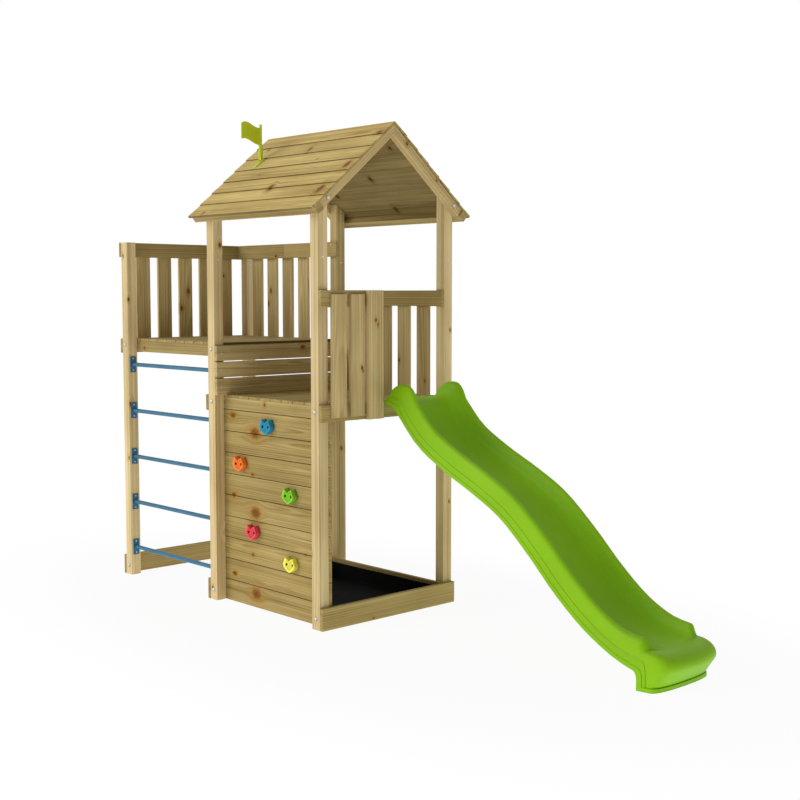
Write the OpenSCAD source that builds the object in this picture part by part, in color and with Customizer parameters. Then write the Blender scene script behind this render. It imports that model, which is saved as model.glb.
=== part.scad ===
// Wooden climbing frame: roofed tower, raised balcony, ladder, climbing wall, sandpit and wavy slide.
// +X runs from the balcony to the slide, -Y is the climbing-wall side, Z = 0 is the ground.

/* [Tower and balcony] */
// Side of the square posts
post = 65; // [50:1:80]
// Pitch of the tower posts along the length
tower_pitch = 940; // [800:5:1200]
// Pitch from the balcony posts to the tower posts
balcony_pitch = 936; // [800:5:1200]
// Depth over the outer faces of the posts
depth = 987; // [950:1:1200]
// Top of the tower deck above the ground
deck_z = 1200; // [1100:5:1300]
// Step from the tower deck up to the balcony deck
balcony_step = 300; // [260:5:340]
// Height of the guard rails above each deck
guard_h = 600; // [550:5:700]
// Chamfer on the edges of posts and boards
arris = 2; // [1:0.5:5]

/* [Beams and rails] */
// Thickness of beams, joists and rails
board_t = 24; // [18:1:30]
// Height of the deck beams and rails
board_h = 90; // [80:1:110]
// Height of the ground beams
ground_h = 120; // [90:1:150]
// Height of the joists under the deck boards
joist_h = 67; // [50:1:75]

/* [Decks and wall] */
// Thickness of the deck boards
deck_t = 15; // [15:1:26]
// Number of boards in each deck
deck_count = 10; // [8:1:12]
// Gap between deck boards
deck_gap = 3; // [3:0.5:10]
// Thickness of the climbing wall boards
wall_t = 20; // [16:1:24]
// Number of climbing wall boards
wall_count = 9; // [7:1:11]
// Joint between climbing wall boards
wall_gap = 1.5; // [0.5:0.5:4]
// Boards that close the step between the decks
infill_count = 3; // [2:1:4]
// Gap between these boards
infill_gap = 6; // [3:1:12]

/* [Guard slats] */
// Width of a slat
slat_w = 100; // [80:1:110]
// Thickness of a slat
slat_t = 18; // [14:1:22]
// Slats in each guard panel
slat_count = 5; // [4:1:6]
// Distance of the slat ends from the rail top and the beam bottom
slat_inset = 21; // [5:1:25]
// Slats beside the slide
side_slat_count = 2; // [1:1:2]
// Gap between the slats beside the slide
side_slat_gap = 28; // [20:1:40]
// Distance of the first of them from the front face
side_slat_start = 60; // [40:1:70]
// Width of the jamb beside the slide
jamb_w = 108; // [90:1:114]
// Thickness of the jamb
jamb_t = 32; // [26:1:40]

/* [Roof] */
// Pitch of the roof in degrees
roof_pitch = 40; // [34:1:46]
// Height of the ridge above the tower deck
ridge_h = 1502; // [1400:2:1600]
// Overhang of the eaves beyond the posts
eave_out = 88; // [80:1:130]
// Boards on each slope
roof_count = 7; // [6:1:8]
// Thickness of a roof board at its lower edge
roof_butt = 14; // [12:0.5:18]
// Thickness of a roof board at its upper edge
roof_tip = 8; // [6:0.5:10]
// Overlap of the roof boards
roof_lap = 14; // [8:1:20]
// Overhang of the roof boards beyond the rafters
verge_out = 9; // [0:1:20]
// Thickness of the rafters
rafter_t = 45; // [35:1:55]
// Depth of the rafters and eave battens
rafter_h = 45; // [38:1:52]

/* [Ladder] */
// Number of rungs
rung_count = 5; // [4:1:5]
// Height of the lowest rung
rung_first = 178; // [140:1:200]
// Number of rungs above the tower deck
rungs_above = 1; // [1:1:2]
// Gap from the rung below the tower deck up to its beam
rung_under = 12; // [8:1:40]
// Diameter of a rung
rung_d = 25; // [20:1:32]
// Width of the flange on a rung's end
flange_w = 40; // [34:1:46]
// Height of the flange
flange_h = 100; // [84:1:110]
// Thickness of the flange
flange_t = 4; // [3:0.5:6]

/* [Climbing holds] */
// Width of a hold
hold_w = 103; // [90:1:120]
// Height of a hold
hold_h = 82; // [70:1:92]
// How far a hold stands out
hold_t = 36; // [28:1:44]
// Distance between the two bolts of a hold
hold_bolt_pitch = 49; // [40:1:58]

/* [Slide] */
// Reach of the slide beyond the tower
slide_run = 1930; // [1700:10:2200]
// Width over the foot flanges
slide_w = 460; // [420:1:480]
// Width of the flat lip on the deck
slide_lip_w = 400; // [360:1:420]
// Height of the side walls above the bed
slide_wall_h = 94; // [70:1:110]
// Drop of the rim below the bed
slide_rim_drop = 28; // [20:1:40]
// Thickness of the moulding
slide_t = 6; // [4:0.5:8]

/* [Flag] */
// Length of the flag pole above its socket
pole_h = 116; // [105:1:160]
// Diameter of the flag pole
pole_d = 16; // [14:1:18]
// Width of the flag
flag_w = 136; // [110:1:150]
// Height of the flag at the pole
flag_h = 96; // [80:1:100]
// Thickness of the flag
flag_t = 6; // [4:0.5:8]

/* [Fixings] */
// Diameter of the coach screws
screw_d = 8; // [6:0.5:10]
// Diameter of their heads
screw_head_d = 24; // [15:0.5:22]
// Height of their heads
screw_head_h = 8; // [4:0.5:8]

/* [Hidden] */
$fn = 48;
cut = 2;
screw_gap = 0.5;
seat_gap = 0.1;
pin_gap = 0.08;
half = 1 / 2;

// Reach to the left of the tower's right face, and the place of that face
left_reach = tower_pitch + balcony_pitch + post + board_t + slat_t;
x_right = (left_reach - slide_run) * half;
x_tower_r = x_right - post;
x_tower_l = x_tower_r - tower_pitch;
x_balcony = x_tower_l - balcony_pitch;
y_front = -depth * half;
y_back = depth * half;
y_front_in = y_front + post;
y_back_in = y_back - post;
room_w = y_back_in - y_front_in;
tower_w = tower_pitch + post;
balcony_w = balcony_pitch + post;

// Levels
balcony_z = deck_z + balcony_step;
ridge_z = deck_z + ridge_h;
joist_z = deck_z - deck_t - joist_h;
balcony_joist_z = balcony_z - deck_t - joist_h;
balcony_post_h = balcony_z + guard_h;
rung_last = deck_z - board_h - rung_under - flange_h * half;
rung_rise = (rung_last - rung_first) / (rung_count - rungs_above - 1);

// Roof lines: a place on a slope is s along it from the eave and n out from its underside
half_span = depth * half + eave_out - roof_butt * sin(roof_pitch);
slope_l = half_span / cos(roof_pitch);
exposure = slope_l / roof_count;
board_run = exposure + roof_lap;
roof_taper = (roof_butt - roof_tip) / board_run;
joint_t = roof_butt - roof_taper * exposure;
ridge_under_z = ridge_z - joint_t / cos(roof_pitch);
eave_under_z = ridge_under_z - half_span * tan(roof_pitch);
roof_x0 = x_tower_l - rafter_t - verge_out;
roof_l = tower_w + 2 * (rafter_t + verge_out);
rebate_gap = 0.5;
eave_set_back = 18;
batten_w = rafter_h;
rafter_start = eave_set_back + batten_w;
post_top_gap = 2;

// Fixing places
screw_end_cover = 6;
joist_screw_drop = 39;
ground_screw_z = 57;
foot_screw_l = 50;
rafter_screw_drop = 30;
// Profile of a screw head from its seat to its crown, as shares of its height and radius
screw_head_shares = [[0, 1], [0.25, 1], [0.65, 0.84], [1, 0.46]];

// Holds: place along the wall and up the wall as shares of its size, and the colour
hold_names = ["blue", "orange", "green", "red", "yellow"];
hold_place_shares = [[0.488, 0.933], [0.196, 0.726], [0.716, 0.606], [0.33, 0.387], [0.726, 0.268]];
hold_tones = ["DodgerBlue", "DarkOrange", "LimeGreen", "Crimson", "Gold"];
hold_level_shares = [[0, 1], [0.25, 1], [0.7, 0.985], [0.92, 0.95], [1, 0.89], [0.94, 0.8], [0.8, 0.66]];
hold_dish_share = 0.72;
hold_facets = 48;
hold_bolt_d = 8;
hold_bolt_head_d = 15;
hold_bolt_bed_share = 0.25;
hold_bolt_head_h = 8;
hold_bolt_rise_share = 0.03;
// Radius of the hold's outline by angle above the level line, as shares of half its width
hold_radius_shares = [
    [-90, 0.78], [-65, 0.71], [-37, 0.74], [-12, 0.92], [4, 1], [27, 0.9], [52.5, 1.02], [56, 0.94],
    [64, 0.66], [90, 0.42]
];
hold_reach_share = 0.775;

// Slide: bed line as shares of the run and of the height of the lip
slide_bed_shares = [
    [0.057, 1], [0.092, 0.984], [0.122, 0.931], [0.186, 0.832], [0.288, 0.739], [0.392, 0.662],
    [0.489, 0.578], [0.587, 0.446], [0.671, 0.317], [0.751, 0.223], [0.835, 0.164],
    [0.896, 0.147], [0.977, 0.144]
];
// Half section of the slide from the middle of the bed to the ridge, as shares of half width and wall
slide_bed_section_shares = [
    [0, 0], [0.34, 0.012], [0.54, 0.07], [0.65, 0.22], [0.705, 0.5], [0.735, 0.84], [0.765, 0.965], [0.8, 1]
];
// Outer wall from the ridge down to the rim, with the steps of its two raised bands
slide_ridge_share = 0.838;
slide_outer_shares = [0, 0.02, 0.07, 0.16, 0.3, 0.45, 0.6, 0.62, 0.84, 0.86, 1];
slide_reach_shares = [0, 0.14, 0.3, 0.42, 0.51, 0.61, 0.72, 0.735, 0.9, 0.905, 1];
slide_band_shares = [0, 0, 0, 0, 0, 0, 0, 0.45, 0.45, 1, 1];
slide_foot_reach_shares = [0, 0.3, 0.55, 0.7, 0.76, 0.79, 0.82, 0.825, 0.9, 0.905, 1];
// At the foot the outer wall trails behind the bed and its bands stand upright; the rest follows the nose
slide_trail_shares = [0, 0.01, 0.02, 0.04, 0.06, 0.08, 0.1, 0.11, 0.44, 0.45, 1];
slide_trail = 42;
slide_trail_spread = 330;
slide_turn_r = 20;
slide_upright_share = 0.6;
slide_soft_share = 0.16;
slide_band_out = 5;
slide_lip_back = 40;
slide_wall_start = 62;
slide_wall_ramp = 108;
slide_crest_extra = 22;
slide_start_steps = 10;
slide_crest_steps = 5;
slide_crest_fall = 45;
slide_rise_share = 0.5;
slide_flare = 20;
slide_bed_steps = 28;
slide_shoulder_share = 0.16;
slide_wall_low_share = 0.66;
slide_fall_start = 175;
slide_fall_l = 70;
slide_foot_l = 152;
slide_foot_power = 2.6;
slide_foot_tuck_share = 0.02;
slide_fall_steps = 8;
slide_end_steps = 1;
slide_rim_extra = 70;
slide_rim_spread = 500;
slide_nose_r = 100;
slide_nose_drop = 57;
slide_nose_bulge = 50;
slide_nose_power = 3;
slide_nose_low_share = 0.6;
slide_flange_out = 35;
slide_face_steps = 3;
slide_nose_steps = 8;
slide_flange_h = 18;
lip_side_gap = 10;

// Flag: place along the roof, its board and its fittings
flag_x_share = 0.166;
flag_board = 4;
flag_base_w = 26;
flag_base_t = 8;
flag_tip_t = 3;
flag_base_inset = 6;
flag_base_clear = 8.8;
flag_base_l = exposure - flag_base_inset - flag_base_clear;
flag_ear_t = 6;
flag_ear_gap = 0.4;
flag_pin_up = 17;
flag_pin_back = 16;
flag_pin_d = 5;
flag_pin_head_d = 9;
flag_pin_head_t = 2;
knuckle_d = 18;
knuckle_rise = 12;
cup_h = 66;
cup_wall = 4;
cup_floor = 6;
cup_ring_h = 5;
cup_ring_out = 1.5;
spigot_cut = 2;
spigot_gap = 0.08;
flag_wave = 30;
flag_wave_turn = 225;
flag_wave_start = 25;
flag_corner = 8;
flag_points = 12;
flag_clear = 2;
star_r_share = 0.28;
star_in_share = 0.42;
star_out = 1.5;
star_points = 5;

// Sandpit liner
liner_t = 3;
liner_gap = 0.3;
liner_edge_drop = 20;

RUNGS = [for (i = [1:rung_count]) str("rung_", i)];
HOLDS = [for (c = hold_names) str("hold_", c)];

wood_front = "BurlyWood";
wood_side = "Tan";
wood_dark = "DarkKhaki";

// Outline of a board with chamfered edges
function eased(w, h) = [
    [arris, 0], [w - arris, 0], [w, arris], [w, h - arris],
    [w - arris, h], [arris, h], [0, h - arris], [0, arris]
];

// Board that runs along X from a corner: length, thickness in Y, height in Z
module along_x(at, l, t, h) {
    translate(at) rotate([90, 0, 90]) linear_extrude(l) polygon(eased(t, h));
}

// Board that runs along Y from a corner: length, thickness in X, height in Z
module along_y(at, l, t, h) {
    translate(at + [0, l, 0]) rotate([90, 0, 0]) linear_extrude(l) polygon(eased(t, h));
}

// Board that stands up from a corner: width in X, width in Y, height
module upright(at, w, d, h) {
    translate(at) linear_extrude(h) polygon(eased(w, d));
}

// Coach screws: each is a place on the outer face, a turn and a length
function front_screw(x, z, l) = [[x, y_front, z], [-90, 0, 0], l];
function back_screw(x, z, l) = [[x, y_back, z], [90, 0, 0], l];
function rafter_z(y) = ridge_under_z - abs(y) * tan(roof_pitch);
x_mid_r = x_tower_r + post * half;
x_mid_l = x_tower_l + post * half;
x_mid_b = x_balcony + post * half;
y_mid = depth * half - post * half;
board_screw_l = post + board_t - screw_end_cover;
wall_screw_l = post + wall_t - screw_end_cover;
rafter_screw_l = rafter_t + post - screw_end_cover;
deck_screw_z = deck_z - joist_screw_drop;
balcony_screw_z = balcony_z - joist_screw_drop;
rafter_screw_z = rafter_z(y_mid) - rafter_screw_drop;
screws = concat(
    [for (x = [x_mid_l, x_mid_r]) front_screw(x, deck_screw_z, board_screw_l)],
    [for (x = [x_mid_l, x_mid_r]) front_screw(x, ground_screw_z, wall_screw_l)],
    [for (x = [x_mid_b, x_mid_l]) front_screw(x, balcony_screw_z, board_screw_l)],
    [front_screw(x_mid_b, ground_screw_z, foot_screw_l)],
    [for (x = [x_mid_l, x_mid_r]) back_screw(x, deck_screw_z, board_screw_l)],
    [for (x = [x_mid_l, x_mid_r]) back_screw(x, ground_screw_z, board_screw_l)],
    [for (x = [x_mid_b, x_mid_l]) back_screw(x, balcony_screw_z, board_screw_l)],
    [back_screw(x_mid_b, ground_screw_z, foot_screw_l)],
    [for (y = [-y_mid, y_mid]) [[x_right + rafter_t, y, rafter_screw_z], [0, -90, 0], rafter_screw_l]],
    [for (y = [-y_mid, y_mid]) [[x_tower_l - rafter_t, y, rafter_screw_z], [0, 90, 0], rafter_screw_l]]
);

module screw_bores() {
    for (s = screws) translate(s[0]) rotate(s[1]) translate([0, 0, -cut])
        cylinder(d = screw_d + screw_gap, h = s[2] + cut + screw_gap);
}

module drilled() {
    difference() {
        children();
        screw_bores();
    }
}

module coach_screws() {
    color("Silver") for (s = screws) translate(s[0]) rotate(s[1]) {
        cylinder(d = screw_d, h = s[2]);
        rotate_extrude() polygon(concat(
            [[0, 0]],
            [for (p = screw_head_shares) [screw_head_d * half * p[1], -screw_head_h * p[0]]],
            [[0, -screw_head_h]]
        ));
    }
}

// Posts: the tower's are cut to the roof slope just under the roof boards
module roof_cutter(side) {
    roof_half = half_span + depth;
    over = ridge_z;
    translate([x_balcony - depth, 0, ridge_under_z - post_top_gap / cos(roof_pitch)])
        mirror([0, side < 0 ? 1 : 0, 0]) rotate([-roof_pitch, 0, 0])
        translate([0, -depth, 0]) cube([tower_w + balcony_w + 2 * depth, roof_half + depth, over]);
}

module tower_post(x, y, side) {
    color(wood_front) drilled() difference() {
        upright([x, y, 0], post, post, ridge_z);
        roof_cutter(side);
    }
}

module post_front_left() { tower_post(x_tower_l, y_front, -1); }
module post_front_right() { tower_post(x_tower_r, y_front, -1); }
module post_back_left() { tower_post(x_tower_l, y_back_in, 1); }
module post_back_right() { tower_post(x_tower_r, y_back_in, 1); }

module balcony_post(y) {
    color(wood_front) drilled() upright([x_balcony, y, 0], post, post, balcony_post_h);
}

module balcony_post_front() { balcony_post(y_front); }
module balcony_post_back() { balcony_post(y_back_in); }

// Ground beams round the sandpit and under the balcony
module ground_beam_right() { color(wood_side) along_y([x_right, y_front, 0], depth, board_t, ground_h); }
module ground_beam_left() {
    color(wood_side) along_y([x_tower_l - board_t, y_front, 0], depth, board_t, ground_h);
}
module ground_beam_back() {
    color(wood_side) drilled() along_x([x_tower_l, y_back_in - board_t, 0], tower_w, board_t, ground_h);
}
module ground_beam_balcony() {
    color(wood_side) along_y([x_balcony - board_t, y_front, 0], depth, board_t, ground_h);
}

// Sandpit liner: an open tray inside the ground beams
module sandpit_liner() {
    at = [x_tower_l + liner_gap, y_front_in + wall_t + liner_gap, 0];
    size = [tower_w - 2 * liner_gap, room_w - wall_t - board_t - 2 * liner_gap, ground_h - liner_edge_drop];
    color("Black") translate(at) difference() {
        cube(size);
        translate([liner_t, liner_t, liner_t]) cube(size - [2 * liner_t, 2 * liner_t, 0]);
    }
}

// Tower deck: beams on the outer faces, joists between the posts, boards on top
module deck_beam(x) { color(wood_side) along_y([x, y_front, deck_z - board_h], depth, board_t, board_h); }
module deck_beam_right() { deck_beam(x_right); }
module deck_beam_left() { deck_beam(x_tower_l - board_t); }
module deck_joist(y) { along_x([x_tower_l, y, joist_z], tower_w, board_t, joist_h); }
module deck_joist_front() { color(wood_front) drilled() deck_joist(y_front_in); }
module deck_joist_middle() { color(wood_dark) deck_joist(-board_t * half); }
module deck_joist_back() { color(wood_dark) drilled() deck_joist(y_back_in - board_t); }

// Row of boards side by side along X, laid across the joists
module laid_boards(x, z, w) {
    pitch = w / deck_count;
    for (i = [0:deck_count - 1])
        along_y([x + i * pitch + deck_gap * half, y_front_in, z - deck_t], room_w, pitch - deck_gap, deck_t);
}
module deck_boards() { color(wood_front) laid_boards(x_tower_l, deck_z, tower_w); }

// Climbing wall: boards behind the front posts, drilled for the holds
wall_h = joist_z;
wall_pitch = wall_h / wall_count;
module wall_boards() {
    color(wood_front) drilled() difference() {
        for (i = [0:wall_count - 1])
            along_x([x_tower_l, y_front_in, i * wall_pitch], tower_w, wall_t, wall_pitch - wall_gap);
        hold_bolt_bores();
    }
}

// Boards that close the step between the two decks
module infill_boards() {
    pitch = (balcony_step - deck_t) / infill_count;
    color(wood_dark) for (i = [0:infill_count - 1])
        along_y([x_tower_l + post, y_front, deck_z + i * pitch + (i > 0 ? infill_gap : 0)],
            depth, board_t, pitch - (i > 0 ? infill_gap : 0));
}

// Balcony deck
module balcony_beam() {
    color(wood_side) along_y([x_balcony - board_t, y_front, balcony_z - board_h], depth, board_t, board_h);
}
module balcony_joist(y) { along_x([x_balcony, y, balcony_joist_z], balcony_w, board_t, joist_h); }
module balcony_joist_front() { color(wood_front) drilled() balcony_joist(y_front_in); }
module balcony_joist_middle() { color(wood_dark) balcony_joist(-board_t * half); }
module balcony_joist_back() { color(wood_dark) drilled() balcony_joist(y_back_in - board_t); }
module balcony_boards() { color(wood_front) laid_boards(x_balcony, balcony_z, balcony_w); }

// Guard rails
rail_z = deck_z + guard_h - board_h;
balcony_rail_z = balcony_z + guard_h - board_h;
side_slat_pitch = slat_w + side_slat_gap;
jamb_y = y_front + side_slat_start + side_slat_count * side_slat_pitch - side_slat_gap * half;
jamb_end = jamb_y + jamb_w;
rail_overrun = 20;
rail_joint = x_balcony + balcony_w * half;
rail_joint_gap = 1;
module rail_back() {
    color(wood_dark) along_x([x_tower_l, y_back_in - board_t, rail_z], tower_w, board_t, board_h);
}
module rail_slide_side() {
    color(wood_side) along_y([x_right, y_front, rail_z], jamb_end - y_front, board_t, board_h);
}
module balcony_rail_left() {
    color(wood_side) along_y([x_balcony - board_t, y_front, balcony_rail_z], depth, board_t, board_h);
}
module balcony_rail_back_left() {
    color(wood_dark) along_x([x_balcony, y_back_in - board_t, balcony_rail_z],
        rail_joint - x_balcony - rail_joint_gap, board_t, board_h);
}
module balcony_rail_back_right() {
    color(wood_dark) along_x([rail_joint, y_back_in - board_t, balcony_rail_z],
        x_tower_l + post + rail_overrun - rail_joint, board_t, board_h);
}

// Slats: even gaps between two posts, from the beam to the rail
module slats_along_x(x0, x1, z) {
    gap = (x1 - x0 - slat_count * slat_w) / (slat_count + 1);
    h = guard_h + board_h - 2 * slat_inset;
    for (i = [0:slat_count - 1])
        upright([x0 + gap + i * (slat_w + gap), y_back_in, z - board_h + slat_inset], slat_w, slat_t, h);
}
module slats_back() { color(wood_dark) slats_along_x(x_tower_l + post, x_tower_r, deck_z); }
module slats_balcony_back() { color(wood_dark) slats_along_x(x_balcony + post, x_tower_l, balcony_z); }
module slats_balcony_left() {
    gap = (room_w - slat_count * slat_w) / (slat_count + 1);
    h = guard_h + board_h - 2 * slat_inset;
    color(wood_side) for (i = [0:slat_count - 1])
        upright([x_balcony - board_t - slat_t, y_front_in + gap + i * (slat_w + gap),
            balcony_z - board_h + slat_inset], slat_t, slat_w, h);
}
module slats_slide_side() {
    h = guard_h + board_h - 2 * slat_inset;
    color(wood_side) for (i = [0:side_slat_count - 1])
        upright([x_right + board_t, y_front + side_slat_start + i * side_slat_pitch,
            deck_z - board_h + slat_inset], slat_t, slat_w, h);
}
module slide_jamb() {
    color(wood_side)
        upright([x_right + board_t, jamb_y, deck_z - board_h], jamb_t, jamb_w, guard_h + board_h);
}

// Roof: a place on the front slope, mirrored for the back slope
function slope_at(s, n) = [
    -half_span + s * cos(roof_pitch) - n * sin(roof_pitch),
    eave_under_z + s * sin(roof_pitch) + n * cos(roof_pitch)
];
module roof_profile(points, x, l, side) {
    mirror([0, side > 0 ? 1 : 0, 0]) translate([x, 0, 0]) rotate([90, 0, 90])
        linear_extrude(l) polygon(points);
}
module rafter(x, side) {
    points = [
        slope_at(rafter_start, -seat_gap), slope_at(slope_l - seat_gap * tan(roof_pitch), -seat_gap),
        slope_at(slope_l - rafter_h * tan(roof_pitch), -rafter_h), slope_at(rafter_start, -rafter_h)
    ];
    color(wood_side) drilled() roof_profile(points, x, rafter_t, side);
}
module rafter_right_front() { rafter(x_right, -1); }
module rafter_right_back() { rafter(x_right, 1); }
module rafter_left_front() { rafter(x_tower_l - rafter_t, -1); }
module rafter_left_back() { rafter(x_tower_l - rafter_t, 1); }

module eave_batten(side) {
    points = [for (c = eased(batten_w, rafter_h)) slope_at(eave_set_back + c[0], c[1] - rafter_h - seat_gap)];
    color(wood_front) roof_profile(points, roof_x0, roof_l, side);
}
module eave_batten_front() { eave_batten(-1); }
module eave_batten_back() { eave_batten(1); }

// Roof board number i: tapered, with a rebate that laps the board below; the top one is cut plumb
module roof_board(i, side) {
    s0 = i * exposure;
    top = i == roof_count - 1;
    lap = i == 0 ? 0 : roof_lap + rebate_gap;
    lift = i == 0 ? 0 : joint_t + rebate_gap;
    end = top ? slope_l : s0 + board_run;
    end_t = top ? joint_t : roof_tip;
    points = [
        slope_at(s0, lift), slope_at(s0, roof_butt),
        slope_at(end + (top ? end_t * tan(roof_pitch) : 0), end_t), slope_at(end, 0),
        slope_at(s0 + lap, 0), slope_at(s0 + lap, lift)
    ];
    roof_profile(i == 0 ? [for (k = [0:3]) points[k]] : points, roof_x0, roof_l, side);
}
module roof_boards(side) {
    color(wood_front) for (i = [0:roof_count - 1]) roof_board(i, side);
}
module roof_boards_front() { roof_boards(-1); }
module roof_boards_back() { roof_boards(1); }

// Ladder rung: a tube between two flanges, each with two screw holes
rung_hole_d = 7;
rung_hole_share = 0.36;
module rung(i) {
    l = balcony_pitch - post;
    at = [x_balcony + post, y_front + post * half, rung_first + i * rung_rise];
    color("SteelBlue") translate(at) difference() {
        union() {
            rotate([0, 90, 0]) cylinder(d = rung_d, h = l);
            for (x = [0, l - flange_t]) translate([x, -flange_w * half, -flange_h * half])
                along_x([0, 0, 0], flange_t, flange_w, flange_h);
        }
        for (z = [-1, 1]) translate([-cut, 0, z * rung_hole_share * flange_h]) rotate([0, 90, 0])
            cylinder(d = rung_hole_d, h = l + 2 * cut);
    }
}

// Climbing hold: an outline notched at the top and pointed below, drawn in towards its top face
function hold_outline(a) = let (r = hold_w * half * lookup(asin(sin(a)), hold_radius_shares))
    [r * cos(a), r * sin(a) * hold_h / (hold_w * hold_reach_share)];
function hold_place(i) = [
    x_tower_l + post + hold_place_shares[i][0] * (tower_pitch - post),
    y_front_in,
    hold_place_shares[i][1] * wall_h
];
hold_bolt_dz = hold_h * hold_bolt_rise_share;
module at_hold_bolts(i) {
    for (d = [-1, 1]) translate(hold_place(i) + [d * hold_bolt_pitch * half, 0, hold_bolt_dz])
        rotate([-90, 0, 0]) children();
}
module hold_bolt_bores() {
    for (i = [0:len(hold_names) - 1]) at_hold_bolts(i) translate([0, 0, -cut])
        cylinder(d = hold_bolt_d + screw_gap, h = wall_t + 2 * cut);
}
module hold_body() {
    rings = len(hold_level_shares);
    points = concat(
        [for (v = hold_level_shares) for (k = [0:hold_facets - 1])
            let (q = hold_outline(k * 360 / hold_facets)) [q[0] * v[1], -v[0] * hold_t, q[1] * v[1]]],
        [[0, 0, 0], [0, -hold_t * hold_dish_share, 0]]
    );
    n = hold_facets;
    sides = [for (r = [0:rings - 2]) for (k = [0:n - 1]) let (m = (k + 1) % n)
        [[r * n + k, r * n + m, (r + 1) * n + m], [r * n + k, (r + 1) * n + m, (r + 1) * n + k]]];
    back = [for (k = [0:n - 1]) [rings * n, (k + 1) % n, k]];
    top = [for (k = [0:n - 1]) [rings * n + 1, (rings - 1) * n + k, (rings - 1) * n + (k + 1) % n]];
    polyhedron(points, concat([for (f = sides) for (t = f) t], back, top), convexity = 4);
}
module hold(i) {
    bed = hold_t * hold_bolt_bed_share;
    color(hold_tones[i]) difference() {
        translate(hold_place(i)) hold_body();
        at_hold_bolts(i) translate([0, 0, -hold_t - cut]) {
            cylinder(d = hold_bolt_d + screw_gap, h = hold_t + 2 * cut);
            cylinder(d = hold_bolt_head_d + screw_gap, h = hold_t + cut - bed);
        }
    }
}
module hold_bolts() {
    bed = hold_t * hold_bolt_bed_share;
    color("Silver") for (i = [0:len(hold_names) - 1]) at_hold_bolts(i) {
        translate([0, 0, -bed]) cylinder(d = hold_bolt_d, h = bed + wall_t);
        translate([0, 0, -bed - hold_bolt_head_h]) cylinder(d = hold_bolt_head_d, h = hold_bolt_head_h);
    }
}

// Slide: the bed line, then the moulded section swept along it down to the foot
slide_y = jamb_end + lip_side_gap + slide_lip_w * half;
lip_z = deck_z + slide_t + seat_gap;
nose_x = slide_run - slide_nose_r;
foot_x = slide_run - slide_foot_l;
bed_line = [for (p = slide_bed_shares) [p[0] * slide_run, p[1] * lip_z]];
bed_n = len(bed_line);
function bed_slope(k) = k == 0 || k == bed_n - 1 ? 0
    : (bed_line[k + 1][1] - bed_line[k - 1][1]) / (bed_line[k + 1][0] - bed_line[k - 1][0]);
// Cubic curve through the bed points k and k + 1, u from 0 to 1
function bed_curve(k, u) = let (
        d = bed_line[k + 1][0] - bed_line[k][0],
        m = bed_slope(k) * d,
        q = bed_slope(k + 1) * d
    ) (2 * u ^ 3 - 3 * u ^ 2 + 1) * bed_line[k][1] + (u ^ 3 - 2 * u ^ 2 + u) * m
        + (3 * u ^ 2 - 2 * u ^ 3) * bed_line[k + 1][1] + (u ^ 3 - u ^ 2) * q;
function bed_z(x) = x <= bed_line[0][0] ? lip_z : x >= bed_line[bed_n - 1][0] ? bed_line[bed_n - 1][1] : let (
        k = max([for (i = [0:bed_n - 2]) bed_line[i][0] <= x ? i : 0])
    ) bed_curve(k, (x - bed_line[k][0]) / (bed_line[k + 1][0] - bed_line[k][0]));

// Stations: the lip, the start of the walls, the run, the back edge of the foot and the run-out
nose_turn = 120;
quarter_turn = 90;
wall_full_x = slide_wall_start + slide_wall_ramp;
crest_end_x = wall_full_x + slide_crest_fall;
fall_x = slide_run - slide_fall_start;
fall_end_x = fall_x + slide_fall_l;
bed_xs = concat(
    [-slide_lip_back, -slide_lip_back * half, 0, slide_wall_start - slide_flare, slide_wall_start],
    [for (i = [1:slide_start_steps]) slide_wall_start + slide_wall_ramp * i / slide_start_steps],
    [for (i = [1:slide_crest_steps]) wall_full_x + (crest_end_x - wall_full_x) * i / slide_crest_steps],
    [for (i = [1:slide_bed_steps]) crest_end_x + (fall_x - crest_end_x) * i / slide_bed_steps],
    [for (i = [1:slide_fall_steps]) fall_end_x - slide_fall_l * (1 - i / slide_fall_steps) ^ 2],
    [for (i = [1:slide_end_steps]) fall_end_x + (nose_x - fall_end_x) * i / slide_end_steps]
);
nose_z = bed_z(nose_x);
nose_face_x = nose_x + slide_nose_r * sin(nose_turn);
nose_face_z = nose_z - slide_nose_drop * (1 - cos(nose_turn));
flange_z = slide_flange_h + slide_band_out * half;
flange_x = nose_x + slide_flange_out;
nose_stations = concat(
    [for (i = [1:slide_nose_steps]) let (a = nose_turn * i / slide_nose_steps)
        [nose_x + slide_nose_r * sin(a), nose_z - slide_nose_drop * (1 - cos(a))]],
    [for (i = [1:slide_face_steps - 1]) let (u = i / slide_face_steps)
        [nose_face_x + (flange_x - nose_face_x) * u, nose_face_z + (flange_z - nose_face_z) * u]],
    [for (z = [flange_z, slide_flange_h, 0]) [flange_x, z]]
);
line = concat([for (x = bed_xs) [x, bed_z(x)]], nose_stations);
line_n = len(line);
nose_first = len(bed_xs);
flange_first = line_n - 2;

function share_of(a, b, x) = min(max((x - a) / (b - a), 0), 1);
function smooth(a, b, x) = let (u = share_of(a, b, x)) u * u * (3 - 2 * u);
function rise_at(x) = let (u = share_of(slide_wall_start, wall_full_x, x))
    u * (1 + slide_rise_share * (1 - u));
// The walls end in a rounded tip at the foot
function tip_at(x) = 1 - (1 - slide_shoulder_share) * share_of(fall_x, fall_end_x, x) ^ 2;
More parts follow.
